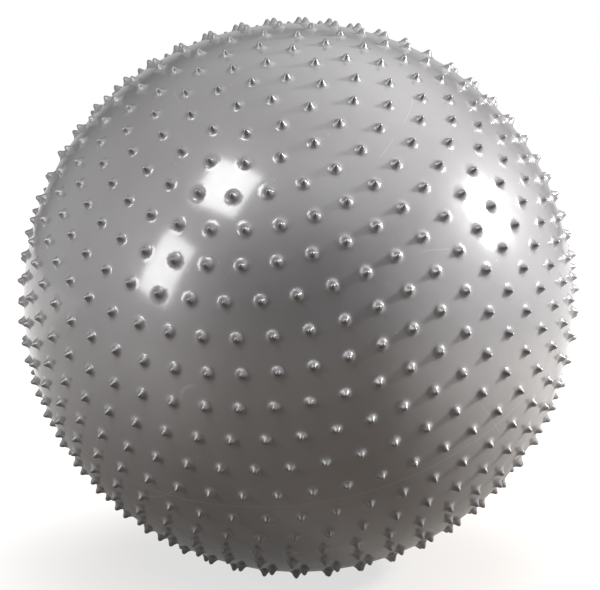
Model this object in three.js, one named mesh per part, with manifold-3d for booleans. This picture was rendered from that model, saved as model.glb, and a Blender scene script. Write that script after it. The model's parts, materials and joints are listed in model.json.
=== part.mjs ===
// Spiky exercise ball: a hollow moulded skin with a spike on every point of a ring pattern,
// a valve seat set in the skin at the far pole, and a push-in valve plug.
// Millimetres, +Z up. The ball stands on the plane z = 0, its centre above the origin.

import * as THREE from "three";
import { ConvexHull } from "three/addons/math/ConvexHull.js";
import { mergeVertices } from "three/addons/utils/BufferGeometryUtils.js";
import Module from "manifold-3d";

// Skin
const skinRadius = 325;
const skinWall = 1.0;
const innerDetail = 8;

// Spikes: rings a constant step apart from pole to pole, at the same pitch along each ring
const ringSteps = 27;
const ringStart = 27;
const ringStagger = -9.86;
const spikeHeight = 8;
const spikeFootRadius = 5.5;
const spikeSides = 4;
const spikeTwist = 20;

// How the ball lies: the near pole leans forward and a little to the left
const poleLean = 36.5;
const poleHeading = -15;
const floorPress = 6;

// Valve plug
const plugStemRadius = 4;
const plugRibHeight = 0.5;
const plugRibCount = 3;
const plugRibPitch = 5;
const plugRibLength = 2.5;
const plugStemLength = 22;
const plugTipTaper = 1.5;
const plugHeadLap = 3;
const plugHeadThickness = 2.4;
const plugHeadEdge = 0.8;

// Valve seat and the thick flat pad of the skin round it
const seatNeckWall = 3;
const seatFlangeWidth = 6;
const seatFlangeThickness = 2.5;
const seatDepth = 26;
const valvePadThickness = 3.5;
const valveLandMargin = 5;
const valveLandPoints = 16;

// Clearances between neighbouring pieces
const plugClearance = 0.3;
const fitGap = 0.3;

// Sides of the turned valve pieces
const turnedSides = 32;

// Sizes that follow from the ones above; the valve's lengths are measured from the ball's centre
const tipRadius = skinRadius + spikeHeight;
const restHeight = tipRadius - floorPress;
const boreRadius = plugStemRadius + plugRibHeight + plugClearance;
const neckRadius = boreRadius + seatNeckWall;
const valveHoleRadius = neckRadius + fitGap;
const plugHeadRadius = valveHoleRadius + plugHeadLap;
const valveLandRadius = plugHeadRadius + valveLandMargin;
const padFace = skinRadius - valvePadThickness;
const seatFlangeTop = padFace - fitGap;
const plugHeadUnderside = skinRadius + fitGap;

const wasm = await Module();
wasm.setup();

const radians = THREE.MathUtils.degToRad;

// Closed three.js geometry as a solid that can be cut
function solidFrom(geometry) {
  const bare = new THREE.BufferGeometry();
  bare.setIndex(geometry.index);
  bare.setAttribute("position", geometry.getAttribute("position"));
  const merged = mergeVertices(bare);
  return new wasm.Manifold(
    new wasm.Mesh({
      numProp: 3,
      vertProperties: merged.getAttribute("position").array,
      triVerts: new Uint32Array(merged.index.array),
    }),
  );
}

// Cut solid back as a three.js geometry
function geometryFrom(solid) {
  const mesh = solid.getMesh();
  const geometry = new THREE.BufferGeometry();
  geometry.setAttribute("position", new THREE.BufferAttribute(mesh.vertProperties, mesh.numProp));
  geometry.setIndex(new THREE.BufferAttribute(mesh.triVerts, 1));
  geometry.computeVertexNormals();
  return geometry;
}

// Unit direction at an angle from the near pole and a turn about the polar axis
function direction(fromPole, turn) {
  const out = Math.sin(fromPole);
  return new THREE.Vector3(out * Math.cos(turn), out * Math.sin(turn), Math.cos(fromPole));
}

// Points of a circle on the skin, at an arc length from a centre direction
function circleOnSkin(centre, arcRadius, count, firstAngle) {
  const tilt = arcRadius / skinRadius;
  const side = new THREE.Vector3(0, 0, 1).cross(centre);
  if (side.lengthSq() < Number.EPSILON) {
    side.set(1, 0, 0);
  }
  side.normalize();
  const start = centre.clone().applyAxisAngle(side, tilt);
  return Array.from({ length: count }, (unused, i) => {
    const angle = firstAngle + (i * 2 * Math.PI) / count;
    return start.clone().applyAxisAngle(centre, angle).multiplyScalar(skinRadius);
  });
}

// Directions of all spikes; the last ring step is the far pole, which holds the valve
function spikeDirections() {
  const ringStep = Math.PI / ringSteps;
  const directions = [];
  for (let ring = 0; ring < ringSteps; ring += 1) {
    const fromPole = ring * ringStep;
    const count = Math.max(1, Math.round((2 * Math.PI * Math.sin(fromPole)) / ringStep));
    const start = radians(ringStart + ring * ringStagger);
    for (let i = 0; i < count; i += 1) {
      directions.push(direction(fromPole, start + (i * 2 * Math.PI) / count));
    }
  }
  return directions;
}

// Outside of the skin: foot corners and spike centres are joined into triangles on the sphere,
// then each centre is drawn out to its spike's tip
function outerSolid() {
  const points = [];
  const tips = new Set();
  for (const centre of spikeDirections()) {
    const tip = centre.clone().multiplyScalar(skinRadius);
    tips.add(tip);
    points.push(tip, ...circleOnSkin(centre, spikeFootRadius, spikeSides, radians(spikeTwist)));
  }
  const farPole = new THREE.Vector3(0, 0, -1);
  points.push(farPole.clone().multiplyScalar(skinRadius));
  points.push(...circleOnSkin(farPole, valveLandRadius, valveLandPoints, 0));

  const hull = new ConvexHull().setFromPoints(points);
  const corners = [];
  for (const face of hull.faces) {
    let edge = face.edge;
    do {
      const point = edge.head().point;
      const reach = tips.has(point) ? tipRadius / skinRadius : 1;
      corners.push(point.x * reach, point.y * reach, point.z * reach);
      edge = edge.next;
    } while (edge !== face.edge);
  }
  const geometry = new THREE.BufferGeometry();
  geometry.setAttribute("position", new THREE.Float32BufferAttribute(corners, 3));
  return solidFrom(geometry);
}

// Air space inside the skin, cut flat at the valve so that the skin is a thick pad there
function airSolid() {
  const air = solidFrom(new THREE.IcosahedronGeometry(skinRadius - skinWall, innerDetail));
  const side = 2 * skinRadius;
  const beyondPad = new THREE.BoxGeometry(side, side, side).translate(0, 0, -padFace - side / 2);
  return air.subtract(solidFrom(beyondPad));
}

// Turned piece about the valve axis; its profile runs outwards along the far pole
function turned(profile) {
  const points = profile.map(([radius, out]) => new THREE.Vector2(radius, out));
  return new THREE.LatheGeometry(points, turnedSides).rotateX(-Math.PI / 2);
}

// Skin in the ball's own frame, with the lowest spikes pressed flat by the floor
function skinGeometry(ballToFloor) {
  const hole = turned([
    [0, padFace - valvePadThickness],
    [valveHoleRadius, padFace - valvePadThickness],
    [valveHoleRadius, tipRadius],
    [0, tipRadius],
  ]);
  const side = 2 * tipRadius;
  const floor = new THREE.BoxGeometry(side, side, side).translate(0, 0, -side / 2);
  floor.applyMatrix4(ballToFloor.clone().invert());
  const skin = outerSolid().subtract(airSolid()).subtract(solidFrom(hole));
  return geometryFrom(skin.subtract(solidFrom(floor)));
}

// Seat: a tube through the skin, with a flange against the pad inside
function seatGeometry() {
  const inner = skinRadius - seatDepth;
  const flangeBottom = seatFlangeTop - seatFlangeThickness;
  return turned([
    [boreRadius, skinRadius],
    [boreRadius, inner],
    [neckRadius, inner],
    [neckRadius, flangeBottom],
    [neckRadius + seatFlangeWidth, flangeBottom],
    [neckRadius + seatFlangeWidth, seatFlangeTop],
    [neckRadius, seatFlangeTop],
    [neckRadius, skinRadius],
    [boreRadius, skinRadius],
  ]);
}

// Plug: a tapered tip, barbed ribs along the stem, and a flat head over the seat
function plugGeometry() {
  const tip = plugHeadUnderside - plugStemLength;
  const profile = [
    [0, tip],
    [plugStemRadius - plugTipTaper, tip],
    [plugStemRadius, tip + plugTipTaper],
  ];
  for (let i = 0; i < plugRibCount; i += 1) {
    const foot = tip + plugTipTaper + plugRibLength + i * plugRibPitch;
    const crest = foot + plugRibLength;
    profile.push([plugStemRadius, foot]);
    profile.push([plugStemRadius + plugRibHeight, crest]);
    profile.push([plugStemRadius, crest + plugRibHeight]);
  }
  const headTop = plugHeadUnderside + plugHeadThickness;
  profile.push([plugStemRadius, plugHeadUnderside]);
  profile.push([plugHeadRadius, plugHeadUnderside]);
  profile.push([plugHeadRadius, headTop - plugHeadEdge]);
  profile.push([plugHeadRadius - plugHeadEdge, headTop]);
  profile.push([0, headTop]);
  return turned(profile);
}

const greyVinyl = new THREE.MeshStandardMaterial({ color: 0x9b9b9e, roughness: 0.35, metalness: 0.1 });
const seatVinyl = new THREE.MeshStandardMaterial({ color: 0x8b8b8e, roughness: 0.45, metalness: 0 });
const whitePlastic = new THREE.MeshStandardMaterial({ color: 0xe6e6e2, roughness: 0.4, metalness: 0 });

// One named piece of the ball
function addPiece(parent, name, geometry, material) {
  const piece = new THREE.Mesh(geometry, material);
  piece.name = name;
  parent.add(piece);
}

const object = new THREE.Group();
const heading = new THREE.Group();
heading.rotation.z = radians(poleHeading);
heading.position.z = restHeight;
const ball = new THREE.Group();
ball.rotation.x = radians(poleLean);
heading.add(ball);
object.add(heading);
object.updateMatrixWorld(true);

addPiece(ball, "ball_skin", skinGeometry(ball.matrixWorld), greyVinyl);
addPiece(ball, "valve_seat", seatGeometry(), seatVinyl);
addPiece(ball, "valve_plug", plugGeometry(), whitePlastic);

export default object;
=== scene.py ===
"""Spiky exercise ball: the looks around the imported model.

The skin is one sheet of pearl grey vinyl with a spike on every point of a ring pattern, the collar of
the valve is set in it at the far pole, and a white plug closes the collar. Metres, +Z up, ball on z = 0.
"""

import json
import logging
import math
from dataclasses import dataclass, field
from enum import Enum
from typing import Any

import bpy
import numpy as np
from mathutils import Matrix, Quaternion, Vector
from mathutils.geometry import delaunay_2d_cdt


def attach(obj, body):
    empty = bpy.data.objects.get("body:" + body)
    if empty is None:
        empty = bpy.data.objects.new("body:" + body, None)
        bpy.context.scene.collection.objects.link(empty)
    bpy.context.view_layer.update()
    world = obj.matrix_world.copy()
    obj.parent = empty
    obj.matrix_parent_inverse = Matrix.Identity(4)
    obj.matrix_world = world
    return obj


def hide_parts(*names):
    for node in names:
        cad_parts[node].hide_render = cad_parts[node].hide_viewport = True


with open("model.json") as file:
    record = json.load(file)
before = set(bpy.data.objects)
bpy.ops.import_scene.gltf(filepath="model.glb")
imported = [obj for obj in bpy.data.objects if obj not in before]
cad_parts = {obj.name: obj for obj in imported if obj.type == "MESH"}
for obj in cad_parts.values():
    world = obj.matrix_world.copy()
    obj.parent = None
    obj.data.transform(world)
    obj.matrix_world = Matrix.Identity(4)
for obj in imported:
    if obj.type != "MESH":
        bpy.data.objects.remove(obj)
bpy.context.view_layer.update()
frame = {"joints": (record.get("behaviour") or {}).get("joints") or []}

# Points closer than this are one: first those of the skin, then those of its flat layout
WELD = 2e-5
FLAT_WELD = 1e-9
# Points no further off the ball's radius than this are bare skin
BARE_SKIN = 5e-6
LOG = logging.getLogger("spiky_ball")

Colour = tuple[float, float, float, float]
Profile = list[tuple[float, float]]


class Body(Enum):
    """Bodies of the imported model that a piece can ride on."""

    BALL = "ball"
    PLUG = "plug"


class Node(Enum):
    """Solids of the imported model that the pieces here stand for."""

    SKIN = "ball_skin"
    SEAT = "valve_seat"
    PLUG = "valve_plug"


class Slot(Enum):
    """Material slots of the record."""

    SKIN = "skin_vinyl"
    SEAT = "seat_vinyl"
    PLUG = "plug_plastic"


class LampUse(Enum):
    """What a lamp adds: light and shadows, its image in glossy faces, or both."""

    BOTH = "both"
    CAST = "cast"
    IMAGE = "image"


def grey(level: float, warmth: float = 0.0) -> Colour:
    """Give a linear grey, a little redder and less blue with more warmth."""
    return (level * (1 + warmth), level, level * (1 - warmth), 1.0)


class Graph:
    """Short words for laying nodes into one node tree."""

    # Sockets of a Mix node that carry colours
    COLOUR_FIRST = 6
    COLOUR_SECOND = 7
    COLOUR_RESULT = 2

    def __init__(self, tree: bpy.types.NodeTree) -> None:
        """Take a tree and empty it."""
        self.tree = tree
        tree.nodes.clear()

    def feed(self, socket: bpy.types.NodeSocket, value: Any) -> None:
        """Link a socket into an input, or set the input to a plain value.

        Args:
            socket: The input.
            value: The socket or the plain value.
        """
        if isinstance(value, bpy.types.NodeSocket):
            self.tree.links.new(value, socket)
        else:
            socket.default_value = value

    def node(self, kind: str, inputs: dict[Any, Any] | None = None, **settings: Any) -> bpy.types.Node:
        """Add a node.

        Args:
            kind: The node's type name.
            inputs: Values or sockets for its inputs, by name or number.
            settings: The node's own properties.

        Returns:
            The new node.
        """
        node = self.tree.nodes.new(kind)
        for name, value in settings.items():
            setattr(node, name, value)
        for key, value in (inputs or {}).items():
            self.feed(node.inputs[key], value)
        return node

    def math(self, operation: str, *terms: Any) -> bpy.types.NodeSocket:
        """Add a Math node on one to three terms and give its result."""
        return self.node("ShaderNodeMath", dict(enumerate(terms)), operation=operation).outputs[0]

    def ramp(
        self, value: Any, low: float, high: float, start: float = 0.0, end: float = 1.0
    ) -> bpy.types.NodeSocket:
        """Map a value smoothly and clamp it.

        Args:
            value: The socket to map.
            low: Value that gives start.
            high: Value that gives end.
            start: Result at low.
            end: Result at high.

        Returns:
            The mapped socket.
        """
        inputs = {"Value": value, "From Min": low, "From Max": high, "To Min": start, "To Max": end}
        return self.node("ShaderNodeMapRange", inputs, interpolation_type="SMOOTHSTEP").outputs["Result"]

    def noise(self, place: bpy.types.NodeSocket, scale: float, detail: float = 2.0) -> bpy.types.NodeSocket:
        """Add a Noise Texture on a place and give its value."""
        inputs = {"Vector": place, "Scale": scale, "Detail": detail}
        return self.node("ShaderNodeTexNoise", inputs).outputs["Fac"]

    def blend(self, share: Any, first: Any, second: Any) -> bpy.types.NodeSocket:
        """Mix two colours by a share and give the colour."""
        inputs = {0: share, self.COLOUR_FIRST: first, self.COLOUR_SECOND: second}
        return self.node("ShaderNodeMix", inputs, data_type="RGBA").outputs[self.COLOUR_RESULT]


@dataclass(frozen=True)
class BallFrame:
    """The ball's own frame: its centre, two axes across, and the axis from the valve to the near pole."""

    centre: Vector
    side: Vector
    front: Vector
    pole: Vector

    @classmethod
    def from_packed(cls, centre_height: float) -> "BallFrame":
        """Read the polar axis from the plug's slide.

        Args:
            centre_height: Height of the ball's centre over the floor.

        Returns:
            The frame.
        """
        pole = -Vector(frame["joints"][0]["axis"]).normalized()
        side = Vector((0, 0, 1)).cross(pole).normalized()
        return cls(Vector((0, 0, centre_height)), side, pole.cross(side), pole)

    def matrix(self) -> Matrix:
        """Give the matrix from the ball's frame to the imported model's frame."""
        turn = Matrix((self.side, self.front, self.pole)).transposed().to_4x4()
        return Matrix.Translation(self.centre) @ turn


def turned_mesh(name: str, profile: Profile, sides: int, place: Matrix) -> bpy.types.Mesh:
    """Turn a profile round the valve's axis into a closed mesh.

    Args:
        name: Name of the mesh.
        profile: Radius and distance out along the far pole, from the ball's centre. It starts and ends
            on the axis, or is a closed ring whose last point joins its first.
        sides: Points of each ring.
        place: Matrix from the ball's frame.

    Returns:
        The mesh, with smooth faces that point outwards.
    """
    points: list[Vector] = []
    rings: list[list[int]] = []
    for radius, out in profile:
        count = sides if radius > 0 else 1
        first = len(points)
        for i in range(count):
            angle = math.tau * i / sides
            points.append(Vector((radius * math.cos(angle), radius * math.sin(angle), -out)))
        rings.append([first + i % count for i in range(sides)])
    closed = profile[0][0] > 0
    faces = []
    for k in range(len(rings) if closed else len(rings) - 1):
        lower, upper = rings[k], rings[(k + 1) % len(rings)]
        for i in range(sides):
            j = (i + 1) % sides
            corners = [lower[i], upper[i], upper[j], lower[j]]
            faces.append(list(dict.fromkeys(corners)))
    mesh = bpy.data.meshes.new(name)
    mesh.from_pydata([place @ point for point in points], [], faces)
    mesh.polygons.foreach_set("use_smooth", [True] * len(mesh.polygons))
    mesh.validate()
    return mesh


def rounded(corners: Profile, radii: list[float], steps: int = 4) -> Profile:
    """Round the corners of a turned profile with arcs.

    Args:
        corners: Corner points of the profile, as radius and distance out.
        radii: Rounding radius of each corner, or 0 to leave it sharp.
        steps: Steps along each arc.

    Returns:
        The profile with its arcs.
    """
    result: Profile = []
    last = len(corners) - 1
    for i, (corner, radius) in enumerate(zip(corners, radii)):
        if radius == 0:
            result.append(corner)
            continue
        here = Vector(corner)
        back = (Vector(corners[i - 1]) - here).normalized()
        ahead = (Vector(corners[0 if i == last else i + 1]) - here).normalized()
        half = back.angle(ahead) / 2
        reach = radius / math.tan(half)
        heart = here + (back + ahead).normalized() * (radius / math.sin(half))
        start = (here + back * reach - heart).normalized()
        end = (here + ahead * reach - heart).normalized()
        for step in range(steps + 1):
            spoke = start.slerp(end, step / steps) * radius
            result.append(tuple(heart + spoke))
    return result


@dataclass(frozen=True)
class PearlVinyl:
    """Silver pearl vinyl of the skin: flakes under a clear glossy face, with fine wear, and painted shade
    that darkens the spikes towards their tips.
    """

    shade: Colour = (0.253, 0.245, 0.249, 1.0)
    light: Colour = (0.279, 0.271, 0.277, 1.0)
    line: Colour = grey(0.38, 0.01)
    scuff: Colour = grey(0.40, 0.0)
    metallic: tuple[float, float] = (0.25, 0.9)
    gloss: float = 0.15
    coat: float = 1.0
    coat_index: float = 1.75
    coat_roughness: tuple[float, float] = (0.13, 0.36)
    skirt_rise: tuple[float, float] = (0.0001, 0.0015)
    # Over this rise on a spike the flake grows denser, and the base colour darkens to the next share at the
    # tips: painted shade for the spikes' dark flanks
    tip_rise: tuple[float, float] = (0.001, 0.0045)
    painted_tip_shade: float = 0.75
    roughness: tuple[float, float] = (0.4, 0.5)
    grain_scale: float = 55.0
    grain_detail: float = 3.0
    grain_band: tuple[float, float] = (0.3, 0.7)
    mottle_scale: float = 9.0
    mottle_detail: float = 4.0
    mottle_band: tuple[float, float] = (0.35, 0.65)
    line_half_width: float = 0.0009
    line_core: float = 0.3
    line_strength: float = 0.6
    speck_scale: float = 90.0
    speck_size: tuple[float, float] = (0.05, 0.09)
    speck_patch_scale: float = 31.0
    speck_patch_level: float = 0.7
    scratch_scale: float = 4.5
    scratch_level: float = 0.5
    scratch_width: tuple[float, float] = (0.0006, 0.0016)
    scratch_patch_scale: float = 17.0
    scratch_patch_band: tuple[float, float] = (0.62, 0.66)
    scratch_strength: float = 0.5
    relief_strength: float = 0.25
    wave_scale: float = 24.0
    wave_detail: float = 1.0
    wave_depth: float = 0.0012
    peel_scale: float = 700.0
    peel_depth: float = 0.0001

    def material(self, ball: BallFrame, radius: float) -> bpy.types.Material:
        """Build the material.

        Args:
            ball: The ball's frame, for the parting line.
            radius: Radius of the bare skin, from which the height on a spike is measured.

        Returns:
            The material.
        """
        material = bpy.data.materials.new("pearl_vinyl")
        material.use_nodes = True
        graph = Graph(material.node_tree)
        place = graph.node("ShaderNodeTexCoord").outputs["Object"]
        out = graph.node("ShaderNodeVectorMath", {0: place, 1: ball.centre}, operation="SUBTRACT")
        reach = graph.node("ShaderNodeVectorMath", {0: out.outputs[0]}, operation="LENGTH")
        rise = graph.math("SUBTRACT", reach.outputs["Value"], radius)
        along = graph.node(
            "ShaderNodeVectorMath", {0: out.outputs[0], 1: ball.pole}, operation="DOT_PRODUCT"
        )
        grain = graph.noise(place, self.grain_scale, self.grain_detail)
        colour = self.colour(graph, place, along.outputs["Value"])
        # Painted shade: the base colour darkens towards the spikes' tips, standing in for the dark
        # reflections on their flanks
        painted_tip_darkening = graph.ramp(rise, *self.tip_rise, 1.0, self.painted_tip_shade)
        colour_with_painted_shade = graph.node("ShaderNodeVectorMath", {0: colour, "Scale": painted_tip_darkening}, operation="SCALE")
        shader = graph.node("ShaderNodeBsdfPrincipled", {
            "Base Color": colour_with_painted_shade.outputs[0],
            "Metallic": graph.ramp(rise, *self.tip_rise, *self.metallic),
            "Roughness": graph.ramp(grain, *self.grain_band, *self.roughness),
            "Specular IOR Level": self.gloss,
            "Coat Weight": self.coat,
            "Coat IOR": self.coat_index,
            "Coat Roughness": graph.ramp(rise, *self.skirt_rise, *self.coat_roughness),
            "Normal": self.relief(graph, place),
        })
        # The bare skin's value stands wherever the linked one is left out
        shader.inputs["Coat Roughness"].default_value = self.coat_roughness[0]
        graph.node("ShaderNodeOutputMaterial", {"Surface": shader.outputs[0]})
        return material

    def colour(
        self, graph: Graph, place: bpy.types.NodeSocket, along: bpy.types.NodeSocket
    ) -> bpy.types.NodeSocket:
        """Lay the mottled grey, the pale parting line, the specks and the scratches.

        Args:
            graph: Graph to add to.
            place: Object coordinates.
            along: Distance from the equator along the polar axis.

        Returns:
            The colour socket.
        """
        mottle = graph.noise(place, self.mottle_scale, self.mottle_detail)
        base = graph.blend(graph.ramp(mottle, *self.mottle_band), self.shade, self.light)
        off_line = graph.math("ABSOLUTE", along)
        core = self.line_core * self.line_half_width
        on_line = graph.ramp(off_line, core, self.line_half_width, self.line_strength, 0.0)
        lined = graph.blend(on_line, base, self.line)
        cells = graph.node("ShaderNodeTexVoronoi", {"Vector": place, "Scale": self.speck_scale})
        near = graph.ramp(cells.outputs["Distance"], *self.speck_size, 1.0, 0.0)
        patches = graph.noise(place, self.speck_patch_scale, 0.0)
        chosen = graph.math("GREATER_THAN", patches, self.speck_patch_level)
        specked = graph.blend(graph.math("MULTIPLY", near, chosen), lined, self.scuff)
        scratched = graph.math("MULTIPLY", self.hairline(graph, place), self.scratch_strength)
        return graph.blend(scratched, specked, self.scuff)

    def hairline(self, graph: Graph, place: bpy.types.NodeSocket) -> bpy.types.NodeSocket:
        """Give the share of a few short hairline scratches.

        Args:
            graph: Graph to add to.
            place: Object coordinates.

        Returns:
            1 on a scratch and 0 elsewhere.
        """
        level = graph.math("SUBTRACT", graph.noise(place, self.scratch_scale, 0.0), self.scratch_level)
        line = graph.ramp(graph.math("ABSOLUTE", level), *self.scratch_width, 1.0, 0.0)
        patches = graph.noise(place, self.scratch_patch_scale, 0.0)
        return graph.math("MULTIPLY", line, graph.ramp(patches, *self.scratch_patch_band))

    def relief(self, graph: Graph, place: bpy.types.NodeSocket) -> bpy.types.NodeSocket:
        """Give the skin its soft waves and its fine moulded peel.

        Args:
            graph: Graph to add to.
            place: Object coordinates.

        Returns:
            The bent normal.
        """
        waves = graph.node("ShaderNodeBump", {
            "Strength": self.relief_strength,
            "Distance": self.wave_depth,
            "Height": graph.noise(place, self.wave_scale, self.wave_detail),
        })
        peel = graph.node("ShaderNodeBump", {
            "Strength": self.relief_strength,
            "Distance": self.peel_depth,
            "Height": graph.noise(place, self.peel_scale),
            "Normal": waves.outputs[0],
        })
        return peel.outputs[0]


@dataclass(frozen=True)
class MouldedPlastic:
    """Plain moulded plastic with a faint grain, for the collar and the plug."""

    name: str
    shade: Colour
    light: Colour
    roughness: tuple[float, float] = (0.38, 0.5)
    mottle_scale: float = 120.0
    mottle_detail: float = 3.0
    mottle_band: tuple[float, float] = (0.35, 0.65)
    grain_scale: float = 900.0
    grain_band: tuple[float, float] = (0.3, 0.7)
    grain_depth: float = 0.0002
    grain_strength: float = 0.3

    def material(self) -> bpy.types.Material:
        """Build the material.

        Returns:
            The material.
        """
        material = bpy.data.materials.new(self.name)
        material.use_nodes = True
        graph = Graph(material.node_tree)
        place = graph.node("ShaderNodeTexCoord").outputs["Object"]
        mottle = graph.noise(place, self.mottle_scale, self.mottle_detail)
        grain = graph.noise(place, self.grain_scale)
        bump = graph.node("ShaderNodeBump", {
            "Strength": self.grain_strength, "Distance": self.grain_depth, "Height": grain,
        })
        shader = graph.node("ShaderNodeBsdfPrincipled", {
            "Base Color": graph.blend(graph.ramp(mottle, *self.mottle_band), self.shade, self.light),
            "Roughness": graph.ramp(grain, *self.grain_band, *self.roughness),
            "Normal": bump.outputs[0],
        })
        graph.node("ShaderNodeOutputMaterial", {"Surface": shader.outputs[0]})
        return material


COLLAR_VINYL = MouldedPlastic("collar_vinyl", grey(0.23), grey(0.27))
PLUG_PLASTIC = MouldedPlastic("plug_plastic", grey(0.74, 0.02), grey(0.80, 0.015))


@dataclass
class SpikeRings:
    """Ring pattern of the spikes: rings a constant step apart, at the same pitch along each ring."""

    steps: int = 27
    start: float = math.radians(27)
    stagger: float = math.radians(-9.86)

    def directions(self) -> list[Vector]:
        """Lay out the spikes.

        Returns:
            The directions of all spikes in the ball's frame, from the near pole to the valve.
        """
        step = math.pi / self.steps
        found = []
        for ring in range(self.steps):
            from_pole = ring * step
            count = max(1, round(math.tau * math.sin(from_pole) / step))
            for i in range(count):
                turn = self.start + ring * self.stagger + i * math.tau / count
                out = math.sin(from_pole)
                found.append(Vector((out * math.cos(turn), out * math.sin(turn), math.cos(from_pole))))
        return found


@dataclass
class BallSkin:
    """The moulded skin: spikes on a ring pattern, the bare skin between them and the lining inside."""

    radius: float = 0.325
    wall: float = 0.001
    floor_press: float = 0.006
    spike_profile: Profile = field(default_factory=lambda: [
        (0.0, 0.008), (0.0014, 0.0075), (0.0027, 0.0060), (0.0038, 0.0039),
        (0.0055, 0.0018), (0.0074, 0.0004), (0.0095, 0.00008), (0.0130, 0.0),
    ])
    spike_sides: int = 10
    line_points: int = 180
    line_rows: Profile = field(default_factory=lambda: [
        (-0.0012, 0.0), (-0.0005, 0.00014), (0.0, 0.00025), (0.0005, 0.00014), (0.0012, 0.0),
    ])
    valve_hole: float = 0.0081
    valve_land: float = 0.0145
    valve_edge: float = 0.0006
    valve_edge_steps: int = 3
    pad_thickness: float = 0.0035
    valve_sides: int = 48
    lining_rings: int = 24
    rings: SpikeRings = field(default_factory=SpikeRings)

    def __post_init__(self) -> None:
        """Set the spikes' height and land, and the ball's frame, from the sizes."""
        self.spike_height = self.spike_profile[0][1]
        self.land_radius = self.spike_profile[-1][0]
        self.ball = BallFrame.from_packed(self.radius + self.spike_height - self.floor_press)

    def drop(self, radius: float) -> float:
        """Give the distance from the centre of a circle of that radius on the skin."""
        return math.sqrt(self.radius ** 2 - radius ** 2)

    def spike_turns(self) -> list[Matrix]:
        """Turn each spike upright on the skin.

        Returns:
            Each spike's own frame in the ball's frame: east, north and outwards.
        """
        turns = []
        for out in self.rings.directions():
            east = Vector((0, 0, 1)).cross(out)
            if east.length < WELD:
                east = Vector((1, 0, 0))
            east.normalize()
            turns.append(Matrix((east, out.cross(east), out)).transposed())
        return turns

    def spike_points(self) -> bpy.types.Mesh:
        """Set the points that the spikes stand on.

        Returns:
            One loose point on the skin for each spike, with its turn as an attribute.
        """
        place = self.ball.matrix()
        turns = self.spike_turns()
        mesh = bpy.data.meshes.new("spike_points")
        mesh.from_pydata([place @ (turn.col[2] * self.radius) for turn in turns], [], [])
        attribute = mesh.attributes.new("turn", "QUATERNION", "POINT")
        world = [(place.to_3x3() @ turn).to_quaternion() for turn in turns]
        attribute.data.foreach_set("value", [part for turn in world for part in turn])
        return mesh

    def foot_circles(self) -> list[Vector]:
        """Draw the circles where the spikes' patches end.

        Returns:
            The points of the circles, spike by spike, in the ball's frame.
        """
        points = []
        for turn in self.spike_turns():
            for i in range(self.spike_sides):
                angle = math.tau * i / self.spike_sides
                around = Vector((math.cos(angle), math.sin(angle), 0)) * self.land_radius
                points.append(turn @ (around + Vector((0, 0, self.drop(self.land_radius)))))
        return points

    def line_points_of_row(self, offset: float, height: float) -> list[Vector]:
        """Give the points of one row of the parting line.

        Args:
            offset: Distance from the equator, towards the near pole.
            height: Height over the skin.

        Returns:
            The row's points, all round the ball.
        """
        tilt = offset / self.radius
        reach = self.radius + height
        out, up = math.cos(tilt), math.sin(tilt)
        turns = [math.tau * i / self.line_points for i in range(self.line_points)]
        return [Vector((out * math.cos(turn), out * math.sin(turn), up)) * reach for turn in turns]

    def valve_circle(self) -> list[Vector]:
        """Draw the circle where the bare skin meets the valve's land.

        Returns:
            The circle's points in the ball's frame.
        """
        angles = [math.tau * i / self.valve_sides for i in range(self.valve_sides)]
        low = -self.drop(self.valve_land)
        return [Vector((self.valve_land * math.cos(a), self.valve_land * math.sin(a), low)) for a in angles]

    def web(self) -> tuple[list[Vector], list[list[int]]]:
        """Join the spikes' circles, the parting line and the valve's land with triangles.

        The points are laid flat by a projection from the valve, which keeps angles true, so the flat
        triangles are good ones on the skin too.

        Returns:
            The points in the ball's frame and the triangles between them, with each spike's circle open.
        """
        points = self.foot_circles()
        feet = len(points)
        for offset, height in self.line_rows:
            points += self.line_points_of_row(offset, height)
        points += self.valve_circle()
        flat = []
        for point in points:
            out = point.normalized()
            flat.append(Vector((out.x, out.y)) / (1 + out.z))
        triangles = delaunay_2d_cdt(flat, [], [], 0, FLAT_WELD)[2]
        faces = []
        for triangle in triangles:
            spikes = {corner // self.spike_sides if corner < feet else -1 for corner in triangle}
            if len(spikes) > 1 or -1 in spikes:
                faces.append(list(triangle))
        return points, faces

    def lining(self) -> Profile:
        """Draw the inside of the skin.

        Returns:
            The turned profile from the valve's land through the hole and round the inside of the skin.
        """
        pad_face = self.radius - self.pad_thickness
        inner = self.radius - self.wall
        edge = self.valve_hole + self.valve_edge
        profile = [(edge + self.valve_edge, self.drop(edge + self.valve_edge))]
        for step in range(self.valve_edge_steps + 1):
            angle = math.pi / 2 * step / self.valve_edge_steps
            profile.append((
                edge - self.valve_edge * math.sin(angle),
                self.drop(edge) - self.valve_edge * (1 - math.cos(angle)),
            ))
        profile.append((self.valve_hole, pad_face))
        first = math.acos(pad_face / inner)
        for ring in range(self.lining_rings):
            angle = first + (math.pi - first) * ring / self.lining_rings
            profile.append((inner * math.sin(angle), inner * math.cos(angle)))
        return profile

    def web_mesh(self) -> bpy.types.Mesh:
        """Build the bare skin and its lining.

        Returns:
            One sheet that is open only at the spikes' circles.
        """
        points, faces = self.web()
        sides = self.valve_sides
        ring = list(range(len(points) - sides, len(points)))
        for radius, out in self.lining():
            first = len(points)
            for i in range(sides):
                angle = math.tau * i / sides
                points.append(Vector((radius * math.cos(angle), radius * math.sin(angle), -out)))
            inner_ring = list(range(first, first + sides))
            for i in range(sides):
                j = (i + 1) % sides
                faces.append([ring[j], ring[i], inner_ring[i], inner_ring[j]])
            ring = inner_ring
        points.append(Vector((0, 0, self.radius - self.wall)))
        for i in range(sides):
            faces.append([ring[(i + 1) % sides], ring[i], len(points) - 1])
        place = self.ball.matrix()
        mesh = bpy.data.meshes.new("skin_web")
        mesh.from_pydata([place @ point for point in points], [], faces)
        return mesh

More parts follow.
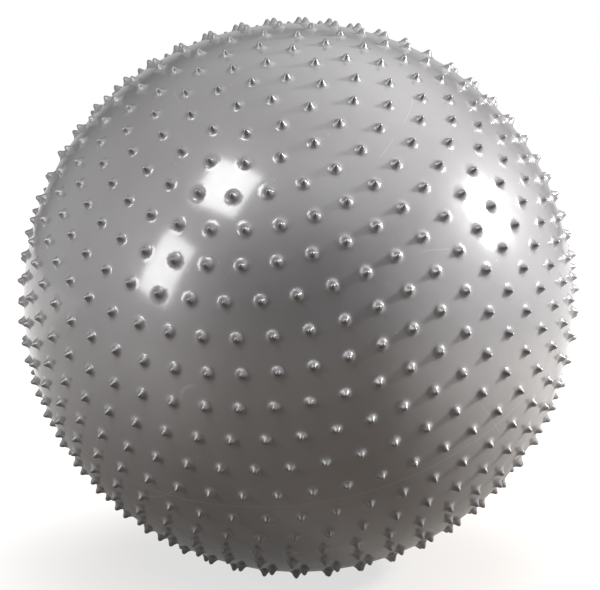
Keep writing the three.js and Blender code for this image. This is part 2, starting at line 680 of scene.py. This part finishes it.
    def level_curve(
        self, graph: Graph, share: bpy.types.NodeSocket, values: list[float]
    ) -> bpy.types.NodeSocket:
        """Map the share of the way from tip to foot to one value for each level of the spike's profile.

        Args:
            graph: Graph to add to.
            share: 0 at the tip and 1 at the foot.
            values: Value at each level, as a share of its full size.

        Returns:
            The value at that share.
        """
        node = graph.node("ShaderNodeFloatCurve", {"Value": share})
        node.mapping.use_clip = False
        points = node.mapping.curves[0].points
        while len(points) < len(values):
            points.new(0.5, 0.5)
        for i, value in enumerate(values):
            points[i].location = (i / (len(values) - 1), value)
            points[i].handle_type = "VECTOR"
        node.mapping.update()
        return node.outputs["Value"]

    def spike_patch(self, graph: Graph, size: dict[str, bpy.types.NodeSocket]) -> bpy.types.NodeSocket:
        """Lay the nodes of one spike: a flat grid bent into rings round the spike's axis.

        Args:
            graph: Graph to add to.
            size: The tree's size inputs by name.

        Returns:
            The spike's mesh, closed at its tip and open at its foot circle.
        """
        grid = graph.node("GeometryNodeMeshGrid", {
            "Size X": 1.0, "Size Y": 1.0,
            "Vertices X": graph.math("ADD", size["Sides"], 1),
            "Vertices Y": graph.math("ADD", size["Levels"], 1),
        })
        flat = graph.node("GeometryNodeInputPosition")
        across = graph.node("ShaderNodeSeparateXYZ", {0: flat.outputs[0]})
        angle = graph.math("MULTIPLY", graph.math("SUBTRACT", 0.5, across.outputs["X"]), math.tau)
        share = graph.math("ADD", across.outputs["Y"], 0.5)
        radii = [radius / self.land_radius for radius, _ in self.spike_profile]
        heights = [height / self.spike_height for _, height in self.spike_profile]
        radius = graph.math("MULTIPLY", size["Land Radius"], self.level_curve(graph, share, radii))
        height = graph.math("MULTIPLY", size["Spike Height"], self.level_curve(graph, share, heights))
        square = graph.math(
            "SUBTRACT", graph.math("POWER", size["Skin Radius"], 2.0), graph.math("POWER", radius, 2.0)
        )
        drop = graph.math("SUBTRACT", graph.math("SQRT", square), size["Skin Radius"])
        place = graph.node("ShaderNodeCombineXYZ", {
            "X": graph.math("MULTIPLY", radius, graph.math("COSINE", angle)),
            "Y": graph.math("MULTIPLY", radius, graph.math("SINE", angle)),
            "Z": graph.math("ADD", height, drop),
        })
        bent = graph.node("GeometryNodeSetPosition", {
            "Geometry": grid.outputs["Mesh"], "Position": place.outputs[0],
        })
        welded = graph.node("GeometryNodeMergeByDistance", {"Geometry": bent.outputs[0], "Distance": WELD})
        return welded.outputs[0]

    def spike_tree(self) -> bpy.types.NodeTree:
        """Build the tree that sets a spike on every point and welds them to the bare skin.

        Returns:
            The tree, with named inputs for its sizes.
        """
        tree = bpy.data.node_groups.new("spiked_skin", "GeometryNodeTree")
        graph = Graph(tree)
        sockets = {
            "Points": "Geometry", "Web": "Object", "Finish": "Material", "Sides": "Int", "Levels": "Int",
        }
        sockets.update({name: "Float" for name in self.float_sizes()})
        for name, kind in sockets.items():
            tree.interface.new_socket(name, in_out="INPUT", socket_type=f"NodeSocket{kind}")
        tree.interface.new_socket("Skin", in_out="OUTPUT", socket_type="NodeSocketGeometry")
        given = graph.node("NodeGroupInput")
        size = {name: given.outputs[name] for name in sockets}
        turn = graph.node("GeometryNodeInputNamedAttribute", {"Name": "turn"}, data_type="QUATERNION")
        spikes = graph.node("GeometryNodeInstanceOnPoints", {
            "Points": size["Points"],
            "Instance": self.spike_patch(graph, size),
            "Rotation": turn.outputs["Attribute"],
        })
        web = graph.node("GeometryNodeObjectInfo", {"Object": size["Web"]})
        joined = graph.node("GeometryNodeJoinGeometry")
        graph.feed(joined.inputs[0], web.outputs["Geometry"])
        graph.feed(joined.inputs[0], spikes.outputs[0])
        real = graph.node("GeometryNodeRealizeInstances", {"Geometry": joined.outputs[0]})
        welded = graph.node("GeometryNodeMergeByDistance", {"Geometry": real.outputs[0], "Distance": WELD})
        place = graph.node("GeometryNodeInputPosition")
        lie = graph.node("ShaderNodeSeparateXYZ", {0: place.outputs[0]})
        pressed = graph.node("ShaderNodeCombineXYZ", {
            "X": lie.outputs["X"],
            "Y": lie.outputs["Y"],
            "Z": graph.math("MAXIMUM", lie.outputs["Z"], size["Floor Level"]),
        })
        standing = graph.node("GeometryNodeSetPosition", {
            "Geometry": welded.outputs[0], "Position": pressed.outputs[0],
        })
        smooth = graph.node("GeometryNodeSetShadeSmooth", {"Geometry": standing.outputs[0]})
        dressed = graph.node("GeometryNodeSetMaterial", {
            "Geometry": smooth.outputs[0], "Material": size["Finish"],
        })
        graph.node("NodeGroupOutput", {"Skin": dressed.outputs[0]})
        return tree

    def float_sizes(self) -> dict[str, float]:
        """Give the tree's lengths by the names of its inputs."""
        return {
            "Skin Radius": self.radius,
            "Spike Height": self.spike_height,
            "Land Radius": self.land_radius,
            "Floor Level": 0.0,
        }

    def build(self, finish: bpy.types.Material) -> bpy.types.Object:
        """Build the skin and put it on the ball's body.

        Args:
            finish: The skin's material.

        Returns:
            The skin's object.
        """
        web = bpy.data.objects.new("skin_web", self.web_mesh())
        skin = bpy.data.objects.new("spiked_skin", self.spike_points())
        bpy.context.scene.collection.objects.link(web)
        bpy.context.scene.collection.objects.link(skin)
        tree = self.spike_tree()
        modifier = skin.modifiers.new("spikes", "NODES")
        modifier.node_group = tree
        levels = len(self.spike_profile) - 1
        values = {"Web": web, "Finish": finish, "Sides": self.spike_sides, "Levels": levels}
        values.update(self.float_sizes())
        for item in tree.interface.items_tree:
            if item.name in values:
                modifier[item.identifier] = values[item.name]
        depsgraph = bpy.context.evaluated_depsgraph_get()
        mesh = bpy.data.meshes.new_from_object(skin.evaluated_get(depsgraph), depsgraph=depsgraph)
        skin.modifiers.clear()
        skin.data = mesh
        bpy.data.objects.remove(web)
        self.true_normals(mesh)
        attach(skin, Body.BALL.value)
        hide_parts(Node.SKIN.value)
        return skin

    def true_normals(self, mesh: bpy.types.Mesh) -> None:
        """Give the bare skin between the spikes the normals of a true ball.

        Args:
            mesh: The skin's mesh.
        """
        places = np.empty(len(mesh.vertices) * 3, np.float32)
        normals = np.empty(len(mesh.vertices) * 3, np.float32)
        mesh.vertices.foreach_get("co", places)
        mesh.vertex_normals.foreach_get("vector", normals)
        out = places.reshape(-1, 3) - np.array(self.ball.centre, np.float32)
        normals = normals.reshape(-1, 3)
        reach = np.linalg.norm(out, axis=1)
        bare = np.abs(reach - self.radius) < BARE_SKIN
        normals[bare] = out[bare] / reach[bare, None]
        mesh.normals_split_custom_set_from_vertices(normals.tolist())


@dataclass
class Valve:
    """The valve at the far pole: the collar set in the skin and the plug that closes it."""

    skin: BallSkin
    stem_radius: float = 0.004
    rib_height: float = 0.0005
    rib_count: int = 3
    rib_pitch: float = 0.005
    stem_length: float = 0.022
    tip_taper: float = 0.0015
    head_lap: float = 0.003
    head_thickness: float = 0.0024
    head_edge: float = 0.0008
    dimple_radius: float = 0.0045
    dimple_depth: float = 0.0007
    neck_wall: float = 0.003
    flange_width: float = 0.006
    flange_thickness: float = 0.0025
    collar_depth: float = 0.026
    edge: float = 0.0005
    clearance: float = 0.0003
    sides: int = 64

    def piece(self, name: str, profile: Profile, finish: bpy.types.Material) -> bpy.types.Object:
        """Turn a profile into a dressed object at its place.

        Args:
            name: Name of the piece.
            profile: Its turned profile.
            finish: Its material.

        Returns:
            The object.
        """
        mesh = turned_mesh(name, profile, self.sides, self.skin.ball.matrix())
        mesh.materials.append(finish)
        piece = bpy.data.objects.new(name, mesh)
        bpy.context.scene.collection.objects.link(piece)
        return piece

    def collar(self, finish: bpy.types.Material) -> bpy.types.Object:
        """Build the collar: a tube through the skin with a flange against its inside.

        Args:
            finish: The collar's material.

        Returns:
            The collar's object.
        """
        bore = self.stem_radius + self.rib_height + self.clearance
        neck = bore + self.neck_wall
        flange = neck + self.flange_width
        mouth = self.skin.radius
        flange_top = mouth - self.skin.pad_thickness - self.clearance
        flange_low = flange_top - self.flange_thickness
        inner = mouth - self.collar_depth
        corners = [
            (bore, mouth), (bore, inner), (neck, inner), (neck, flange_low),
            (flange, flange_low), (flange, flange_top), (neck, flange_top), (neck, mouth),
        ]
        radii = [self.edge] * len(corners)
        piece = self.piece("valve_collar", rounded(corners, radii), finish)
        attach(piece, Body.BALL.value)
        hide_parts(Node.SEAT.value)
        return piece

    def plug(self, finish: bpy.types.Material) -> bpy.types.Object:
        """Build the plug: a tapered tip, barbed ribs along the stem, and a dished head.

        Args:
            finish: The plug's material.

        Returns:
            The plug's object.
        """
        under = self.skin.radius + self.clearance
        top = under + self.head_thickness
        tip = under - self.stem_length
        head = self.skin.valve_hole + self.head_lap
        corners = [
            (0.0, tip), (self.stem_radius - self.tip_taper, tip), (self.stem_radius, tip + self.tip_taper),
        ]
        radii = [0.0, self.edge, self.edge]
        half = self.rib_pitch / 2
        rib_edge = self.rib_height / 4
        dimple_edge = self.dimple_depth / 3
        for i in range(self.rib_count):
            foot = tip + self.tip_taper + i * self.rib_pitch + half
            corners += [
                (self.stem_radius, foot),
                (self.stem_radius + self.rib_height, foot + half),
                (self.stem_radius, foot + half + self.rib_height),
            ]
            radii += [rib_edge] * 3
        corners += [
            (self.stem_radius, under), (head, under), (head, top),
            (self.dimple_radius + self.dimple_depth, top), (self.dimple_radius, top - self.dimple_depth),
            (0.0, top - self.dimple_depth),
        ]
        radii += [self.edge, self.edge, self.head_edge, dimple_edge, dimple_edge, 0.0]
        piece = self.piece("ribbed_plug", rounded(corners, radii), finish)
        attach(piece, Body.PLUG.value)
        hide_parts(Node.PLUG.value)
        return piece


@dataclass(frozen=True)
class SoftLamp:
    """One rectangular soft light that faces the ball."""

    name: str
    azimuth: float
    elevation: float
    distance: float
    width: float
    height: float
    radiance: float
    roll: float
    use: LampUse = LampUse.BOTH

    def direction(self) -> Vector:
        """Give the direction from the ball to the lamp; azimuth 0 is the camera's side, 90 its right."""
        turn, tilt = math.radians(self.azimuth), math.radians(self.elevation)
        return Vector((math.cos(tilt) * math.sin(turn), -math.cos(tilt) * math.cos(turn), math.sin(tilt)))

    def build(self, target: Vector) -> bpy.types.Object:
        """Hang the lamp.

        Args:
            target: Point that the lamp faces.

        Returns:
            The lamp's object.
        """
        light = bpy.data.lights.new(self.name, "AREA")
        light.shape = "RECTANGLE"
        light.size = self.width
        light.size_y = self.height
        light.energy = self.radiance * math.pi * self.width * self.height
        lamp = bpy.data.objects.new(self.name, light)
        lamp.location = target + self.direction() * self.distance
        facing = self.direction().to_track_quat("Z", "Y") @ Quaternion((0, 0, 1), math.radians(self.roll))
        lamp.rotation_euler = facing.to_euler()
        lamp.visible_diffuse = self.use is not LampUse.IMAGE
        lamp.visible_glossy = self.use is not LampUse.CAST
        bpy.context.scene.collection.objects.link(lamp)
        return lamp


@dataclass
class Studio:
    """Pale floor, soft lamps, a world that is white behind the ball, and the camera."""

    target: Vector
    image_width: int = 600
    sensor_width: float = 36.0
    focal_pixels: float = 2040.0
    camera_elevation: float = 8.0
    camera_distance: float = 2.4375
    shift_pixels: tuple[float, float] = (1.8, 2.5)
    floor_size: float = 24.0
    floor_drop: float = 0.0002
    floor_colour: Colour = grey(0.16, 0.13)
    floor_glow: float = 1.0
    shadow_glow: float = 0.7
    shadow_reach: tuple[float, float] = (0.2, 0.5)
    mirrored_reach: tuple[float, float] = (0.25, 1.0)
    mirrored_share: tuple[float, float] = (0.15, 0.8)
    under_glow: float = 0.2
    under_reach: tuple[float, float] = (0.1, 0.4)
    world_level: float = 0.02
    sky_level: float = 1.2
    sky_rise: tuple[float, float] = (0.3, 0.95)
    sky_across: tuple[float, float] = (-0.5, 0.8)
    sky_balance: tuple[float, float] = (0.7, 1.8)
    sky_fill: float = 0.65
    left_side: float = 0.75
    left_reach: tuple[float, float] = (-0.9, -0.3)
    left_fill: float = 0.45
    right_side: float = 1.35
    right_reach: tuple[float, float] = (0.4, 1.0)
    right_fill: float = 0.25
    back_level: float = 0.55
    back_reach: tuple[float, float] = (0.85, 0.97)
    lamps: list[SoftLamp] = field(default_factory=lambda: [
        SoftLamp("upper_left_lamp", -37, 46, 1.8, 0.59, 0.57, 8.0, -10),
        SoftLamp("left_lamp", -52, 15, 1.8, 0.45, 0.7, 7.2, -20),
        SoftLamp("right_soft_box", 88, 25, 1.7, 0.46, 0.5, 36.0, 0, LampUse.IMAGE),
        SoftLamp("right_key_lamp", 88, 25, 1.7, 0.24, 0.26, 218.0, 0, LampUse.CAST),
    ])

    def build(self) -> None:
        """Build everything that isn't part of the ball."""
        self.camera()
        self.world()
        self.floor()
        for lamp in self.lamps:
            lamp.build(self.target)
        bpy.context.scene.view_settings.view_transform = "Standard"

    def camera(self) -> None:
        """Place the camera at the photograph's angle and distance."""
        tilt = math.radians(self.camera_elevation)
        back = Vector((0, -math.cos(tilt), math.sin(tilt)))
        data = bpy.data.cameras.new("camera")
        data.sensor_fit = "HORIZONTAL"
        data.sensor_width = self.sensor_width
        data.lens = self.focal_pixels / self.image_width * self.sensor_width
        data.shift_x = self.shift_pixels[0] / self.image_width
        data.shift_y = self.shift_pixels[1] / self.image_width
        camera = bpy.data.objects.new("camera", data)
        camera.location = self.target + back * self.camera_distance
        camera.rotation_euler = back.to_track_quat("Z", "Y").to_euler()
        bpy.context.scene.collection.objects.link(camera)
        bpy.context.scene.camera = camera

    def side_level(
        self, graph: Graph, across: bpy.types.NodeSocket, left_share: Any = 1.0, right_share: Any = 1.0
    ) -> bpy.types.NodeSocket:
        """Give the level of the surroundings from the left to the right of the ball.

        Args:
            graph: Graph to add to.
            across: -1 on the left and 1 on the right.
            left_share: Share of the level on the left.
            right_share: Share of the level on the right.

        Returns:
            The level.
        """
        left = graph.ramp(across, *self.left_reach, self.left_side, self.world_level)
        right = graph.ramp(across, *self.right_reach, 0.0, self.right_side)
        return graph.math(
            "ADD", graph.math("MULTIPLY", left, left_share), graph.math("MULTIPLY", right, right_share)
        )

    def world(self) -> None:
        """Make the surroundings dim, brighter above, at the sides and behind, and white for the camera.

        Matt faces get only a share of the light from above and the sides, so the lamps' shadows stay clear.
        """
        world = bpy.data.worlds.new("studio")
        world.use_nodes = True
        graph = Graph(world.node_tree)
        place = graph.node("ShaderNodeTexCoord")
        facing = graph.node("ShaderNodeSeparateXYZ", {0: place.outputs["Generated"]})
        across = facing.outputs["X"]
        sky = graph.math("MULTIPLY",
                         graph.ramp(facing.outputs["Z"], *self.sky_rise, 0.0, self.sky_level),
                         graph.ramp(across, *self.sky_across, *self.sky_balance))
        path = graph.node("ShaderNodeLightPath")
        fills = (self.left_fill, self.right_fill, self.sky_fill)
        left_share, right_share, sky_share = [
            graph.ramp(path.outputs["Is Glossy Ray"], 0.0, 1.0, fill, 1.0) for fill in fills
        ]
        lit = graph.math("MAXIMUM",
                         self.side_level(graph, across, left_share, right_share),
                         graph.math("MULTIPLY", sky, sky_share))
        back = graph.ramp(facing.outputs["Y"], *self.back_reach, 0.0, self.back_level)
        level = graph.math("MAXIMUM", graph.math("MAXIMUM", lit, back), path.outputs["Is Camera Ray"])
        background = graph.node("ShaderNodeBackground", {"Color": grey(1.0), "Strength": level})
        graph.node("ShaderNodeOutputWorld", {"Surface": background.outputs[0]})
        bpy.context.scene.world = world

    def floor(self) -> None:
        """Lay the floor: matt, and glowing pale for the camera and, away from the ball, for reflections.

        Close under the ball the glow for reflections is dim, and the one for the camera leaves the shadow.
        """
        half = self.floor_size / 2
        low = -self.floor_drop
        mesh = bpy.data.meshes.new("floor")
        corners = [(-half, -half, low), (half, -half, low), (half, half, low), (-half, half, low)]
        mesh.from_pydata(corners, [], [(0, 1, 2, 3)])
        material = bpy.data.materials.new("pale_floor")
        material.use_nodes = True
        graph = Graph(material.node_tree)
        place = graph.node("ShaderNodeTexCoord").outputs["Object"]
        away = graph.node("ShaderNodeVectorMath", {0: place}, operation="LENGTH").outputs["Value"]
        path = graph.node("ShaderNodeLightPath")
        mirrored = graph.math("MAXIMUM", path.outputs["Is Glossy Ray"], path.outputs["Is Transmission Ray"])
        spot = graph.node("ShaderNodeSeparateXYZ", {0: place})
        side_glow = self.side_level(graph, graph.math("DIVIDE", spot.outputs["X"], away))
        side_share = graph.ramp(away, *self.mirrored_reach, *self.mirrored_share)
        side_glow = graph.math("MULTIPLY", side_glow, side_share)
        back_glow = graph.ramp(spot.outputs["Y"], *self.mirrored_reach, 0.0, self.floor_glow)
        under_glow = graph.ramp(away, *self.under_reach, self.under_glow, 0.0)
        far_glow = graph.math("MAXIMUM", graph.math("MAXIMUM", side_glow, back_glow), under_glow)
        near_glow = graph.ramp(away, *self.shadow_reach, self.shadow_glow, self.floor_glow)
        glow = graph.math("MAXIMUM",
                          graph.math("MULTIPLY", path.outputs["Is Camera Ray"], near_glow),
                          graph.math("MULTIPLY", mirrored, far_glow))
        matt = graph.node("ShaderNodeBsdfDiffuse", {"Color": self.floor_colour})
        light = graph.node("ShaderNodeEmission", {"Color": grey(1.0), "Strength": glow})
        both = graph.node("ShaderNodeAddShader", {0: matt.outputs[0], 1: light.outputs[0]})
        graph.node("ShaderNodeOutputMaterial", {"Surface": both.outputs[0]})
        mesh.materials.append(material)
        floor = bpy.data.objects.new("floor", mesh)
        bpy.context.scene.collection.objects.link(floor)


def report(piece: bpy.types.Object) -> None:
    """Log a piece's name and its number of faces."""
    LOG.info("%s: %d faces", piece.name, len(piece.data.polygons))


def main() -> None:
    """Build the ball and its studio."""
    logging.basicConfig(level=logging.INFO)
    skin = BallSkin()
    report(skin.build(PearlVinyl().material(skin.ball, skin.radius)))
    valve = Valve(skin)
    report(valve.collar(COLLAR_VINYL.material()))
    report(valve.plug(PLUG_PLASTIC.material()))
    Studio(skin.ball.centre).build()


if __name__ == "__main__":
    main()
